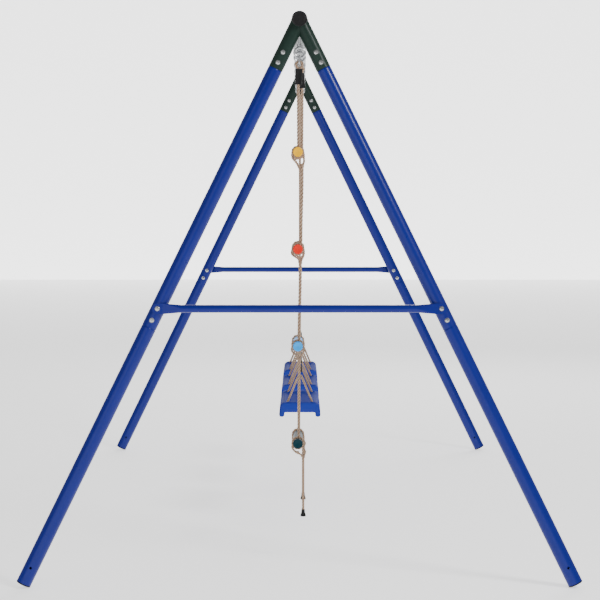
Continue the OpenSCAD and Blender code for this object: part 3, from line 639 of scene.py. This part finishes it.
def seat_ribs():
    """The stiffening ribs in the channel under a seat."""
    bm = bmesh.new()
    def slab(x0, x1, y0, y1, z0, z1):
        g = bmesh.ops.create_cube(bm, size=1)["verts"]
        for v in g:
            v.co = Vector(((x0 + x1) / 2 + v.co.x * (x1 - x0), (y0 + y1) / 2 + v.co.y * (y1 - y0), (z0 + z1) / 2 + v.co.z * (z1 - z0))) * MM
    for y in (-130, -78, -26, 26, 78, 130):
        slab(-58.5, 58.5, y - 1.6, y + 1.6, -42, -24)
    for x in (-24, 24):
        slab(x - 1.6, x + 1.6, -160, 160, -38, -24)
    bmesh.ops.bevel(bm, geom=[e for e in bm.edges], offset=0.8 * MM, segments=2, affect="EDGES")
    me = bpy.data.meshes.new("ribs")
    bm.to_mesh(me)
    bm.free()
    return me
RIB_MESH = seat_ribs()

for n, y0 in SEAT_Y.items():
    for kind, src in (("moulded_seat", SEAT_MESH), ("seat_ribs", RIB_MESH)):
        me = src.copy()
        me.transform(Matrix.Translation((0, y0 * MM, SEAT_TOP * MM)))
        me.materials.clear()
        me.materials.append(SEAT)
        for p in me.polygons:
            p.use_smooth = True
            p.material_index = 0
        me.set_sharp_from_angle(angle=math.radians(38))
        o = bpy.data.objects.new(f"{kind}_{n}", me)
        bpy.context.scene.collection.objects.link(o)
        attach(o, "swing_seat_" + n)
        if kind == "moulded_seat":
            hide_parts(f"seat_{n}")

# ---------------------------------------------------------------- rungs
def lathe_rung(k):
    y0, L, r = LADDER_Y[0] - 30, LADDER_Y[1] - LADDER_Y[0] + 60, 16.5
    end = [(0.0, 1.9), (1.6, 1.8), (2.2, 1.3), (6.8, 1.2), (7.6, 1.0), (11.2, 1.0), (11.9, 0.55), (12.6, 0.1), (13.3, 0), (14.6, 0), (15.6, 0.25), (16.25, 0.9), (16.5, 1.9),
           (16.5, 6), (16.5, 12), (16.5, 18), (16.5, 23.0), (16.25, 23.8), (15.2, 24.2), (13.5, 24.6), (13.2, 25.3), (13.2, 30), (13.2, 34.7), (13.5, 35.4), (15.2, 35.8), (16.25, 36.2), (16.5, 37.0),
           (16.5, 41), (16.5, 45), (16.5, 47), (16.5, 49), (16.5, 51)]
    rows = end + [(16.5, s) for s in (60, 90, L / 2)]
    rows = rows + [(a, L - b) for a, b in reversed(rows[:-1])]
    n = 144
    verts, faces = [], []
    for a, s in rows[1:-1]:
        d = min(s, L - s)
        fl = 0.55 * smooth01((d - 45) / 4)
        for i in range(n):
            t = 2 * math.pi * i / n
            q = max(0.0, math.cos(18 * t))
            rr = a - fl * q * q
            verts.append(V(RUNG_X + rr * math.cos(t), y0 + s, RUNG_Z[k] + rr * math.sin(t)))
    m = len(rows) - 2
    for j in range(m - 1):
        for i in range(n):
            q = (i + 1) % n
            faces.append((j * n + i, j * n + q, (j + 1) * n + q, (j + 1) * n + i))
    for j, s in ((0, rows[0][1]), (m - 1, rows[-1][1])):
        c = len(verts)
        verts.append(V(RUNG_X, y0 + s, RUNG_Z[k]))
        for i in range(n):
            q = (i + 1) % n
            faces.append((j * n + q, j * n + i, c) if j == 0 else (j * n + i, j * n + q, c))
    o = add(f"moulded_rung_{k + 1}", verts, faces, RUNG[k], f"ladder_stage_{k + 1}", angle=40)
    outward(o)
    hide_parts(f"rung_{k + 1}")

def outward(o):
    bm = bmesh.new()
    bm.from_mesh(o.data)
    bmesh.ops.recalc_face_normals(bm, faces=bm.faces)
    bm.to_mesh(o.data)
    bm.free()

def smooth01(t):
    t = min(1.0, max(0.0, t))
    return t * t * (3 - 2 * t)

for k in range(4):
    lathe_rung(k)

# ---------------------------------------------------------------- shrunk sleeves round the rope eyes
def sleeve_outline(r, z, ripple):
    out = []
    for i in range(48):
        t = 2 * math.pi * (i + 0.5) / 48
        sx = 1 if math.cos(t) > 0 else -1
        x = sx * 5.5 + r * math.cos(t)
        w = ripple * math.sin(2 * math.pi * z / 8.6 + 1.3 * sx + 2 * t)
        x, y = x + w * math.cos(t), (r + w) * math.sin(t)
        if i in (11, 12, 35, 36):
            y *= 0.86
        elif i in (10, 13, 34, 37):
            y *= 0.95
        out.append((x, y))
    return out

def sleeves(name, places, body, node):
    verts, faces = [], []
    n = 48
    zs = [0.0, 0.35, 1.0, 2.2, 3.6] + [5 + 44 * i / 22 for i in range(23)] + [50.4, 51.8, 53.0, 53.65, 54.0]
    for y0, tilt in places:
        base = len(verts)
        ca, sa = math.cos(math.radians(tilt)), math.sin(math.radians(tilt))
        rows = []
        for z in zs:
            e = min(z, 54 - z)
            r = 7.1 - 0.55 * smooth01((e - 1.5) / 5) - (0.45 * (1 - e / 1.0) ** 2 if e < 1 else 0)
            rows.append((sleeve_outline(r, z, 0.09 * smooth01((e - 3) / 5)), z))
        for z in (53.8, 40, 27, 14, 0.2):
            rows.append((sleeve_outline(5.65, z, 0), z))
        for ring, z in rows:
            zz = SLEEVE_TOP - SLEEVE_H + z - PIVOT
            for x, y in ring:
                verts.append(V(x * ca + zz * sa, y0 + y, PIVOT + zz * ca - x * sa))
        m = len(rows)
        for j in range(m):
            for i in range(n):
                q, jj = (i + 1) % n, (j + 1) % m
                faces.append((base + j * n + i, base + j * n + q, base + jj * n + q, base + jj * n + i))
    o = add(name, verts, faces, BLACK, body, angle=50)
    outward(o)
    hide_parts(node)

for n, y0 in SEAT_Y.items():
    sleeves(f"shrunk_sleeves_{n}", [(y0 - ROPE_DY, 0), (y0 + ROPE_DY, 0)], "hanger_" + n, f"swing_sleeves_{n}")
sleeves("shrunk_sleeves_ladder", [(LADDER_Y[0], LADDER_TILT[0]), (LADDER_Y[1], LADDER_TILT[1])], "ladder_stage_1", "ladder_sleeves")

# ---------------------------------------------------------------- weld beads round the apex brackets
def bead(line, closed, r=1.7):
    verts, faces = [], []
    m, n = len(line), 10
    for i, p in enumerate(line):
        t = ((line[(i + 1) % m] - line[i - 1]) if closed else (line[min(i + 1, m - 1)] - line[max(i - 1, 0)])).normalized()
        up = Vector((0, 1, 0)) if abs(t.y) < 0.8 else Vector((1, 0, 0))
        u = (up - t * up.dot(t)).normalized()
        w = t.cross(u)
        rr = r * (1 + 0.14 * math.sin(i * 2 * math.pi / 4)) * MM
        if not closed:
            rr *= min(1, 0.3 + 0.35 * min(i, m - 1 - i))
        for k in range(n):
            a = 2 * math.pi * k / n
            verts.append(p + (u * math.cos(a) + w * math.sin(a)) * rr)
    for i in range(m if closed else m - 1):
        for k in range(n):
            q, j = (k + 1) % n, (i + 1) % m
            faces.append((i * n + k, i * n + q, j * n + q, j * n + k))
    if not closed:
        faces.append(tuple(range(n - 1, -1, -1)))
        faces.append(tuple((m - 1) * n + k for k in range(n)))
    return verts, faces

def leg_point(phi, t):
    M = Matrix.Rotation(math.radians(-LEAN), 3, "X") @ Matrix.Rotation(math.radians(-LEG), 3, "Y")
    return M @ Vector((TR * math.cos(phi), TR * math.sin(phi), -t))

def root(f, lo, hi):
    for _ in range(40):
        mid = (lo + hi) / 2
        if f(mid) > 0:
            hi = mid
        else:
            lo = mid
    return (lo + hi) / 2

def bracket_beads(rear):
    lines = []
    ring = []
    for i in range(144):
        phi = 2 * math.pi * i / 144
        t = root(lambda t: math.hypot(leg_point(phi, t).x, leg_point(phi, t).z) - TR, 12 if math.cos(phi) > 0 else 0, 90)
        p = leg_point(phi, t)
        ring.append(p)
    # only the part of the seam that the other leg doesn't cover
    keep = [p for p in ring if p.x > 0.6]
    start = next((i for i in range(144) if ring[i].x > 0.6 and ring[i - 1].x <= 0.6), None)
    if start is not None:
        run = []
        for i in range(144):
            p = ring[(start + i) % 144]
            if p.x <= 0.6:
                break
            run.append(p)
        lines.append((run, False))
    else:
        lines.append((ring, True))
    crotch = []
    for i in range(60):
        phi = math.radians(92 + 176 * i / 59)
        t = root(lambda t: leg_point(phi, t).x, 0, 140)
        p = leg_point(phi, t)
        if math.hypot(p.x, p.z) >= TR - 0.5:
            crotch.append(p)
    verts, faces = [], []
    def put(line, closed, mirror):
        pts = [Vector((-p.x if mirror else p.x, p.y, p.z)) for p in line]
        pts = [Vector((p.x, (-1 if rear else 1) * (p.y - APEX_Y), p.z + APEX_Z)) * MM for p in pts]
        v, f = bead(pts, closed)
        k = len(verts)
        verts.extend(v)
        faces.extend(tuple(i + k for i in q) for q in f)
    for line, closed in lines:
        put(line, closed, False)
        put(line, closed, True)
    if len(crotch) > 4:
        put(crotch, False, False)
    o = add("weld_beads_" + ("rear" if rear else "front"), verts, faces, GREEN, "frame", angle=180)
    outward(o)
bracket_beads(False)
bracket_beads(True)

# ---------------------------------------------------------------- floor and light
def stage_plane(name, verts, base, glow):
    me = bpy.data.meshes.new(name)
    me.from_pydata(verts, [], [(0, 1, 2, 3)])
    o = bpy.data.objects.new(name, me)
    bpy.context.scene.collection.objects.link(o)
    m, nt, b = new_mat(name)
    b.inputs["Base Color"].default_value = (base, base, base, 1)
    b.inputs["Roughness"].default_value = 0.85
    b.inputs["Specular IOR Level"].default_value = 0.1
    b.inputs["Emission Color"].default_value = (1, 1, 1, 1)
    b.inputs["Emission Strength"].default_value = glow
    me.materials.append(m)
stage_plane("floor", [(-14, -14, -0.0005), (14, -14, -0.0005), (14, 20, -0.0005), (-14, 20, -0.0005)], 0.92, 0.95)
stage_plane("backdrop", [(-14, 20, -0.0005), (14, 20, -0.0005), (14, 20, 14), (-14, 20, 14)], 0.92, 2.2)

world = bpy.data.worlds.new("studio")
bpy.context.scene.world = world
world.use_nodes = True
bg = world.node_tree.nodes["Background"]
bg.inputs["Color"].default_value = (1.0, 1.0, 1.0, 1)
bg.inputs["Strength"].default_value = 0.38

def area(name, loc, size, power, target=(0, 0, 0.9)):
    l = bpy.data.lights.new(name, "AREA")
    l.shape = "DISK"
    l.size = size
    l.energy = power
    o = bpy.data.objects.new(name, l)
    bpy.context.scene.collection.objects.link(o)
    o.location = loc
    o.rotation_euler = (Vector(target) - Vector(loc)).to_track_quat("-Z", "Y").to_euler()
    return o
area("key", (3.6, -4.6, 4.4), 1.6, 230)
area("fill", (-3.0, -6.5, 1.6), 4.5, 70)
area("back", (1.5, 5.5, 4.0), 3.0, 120)
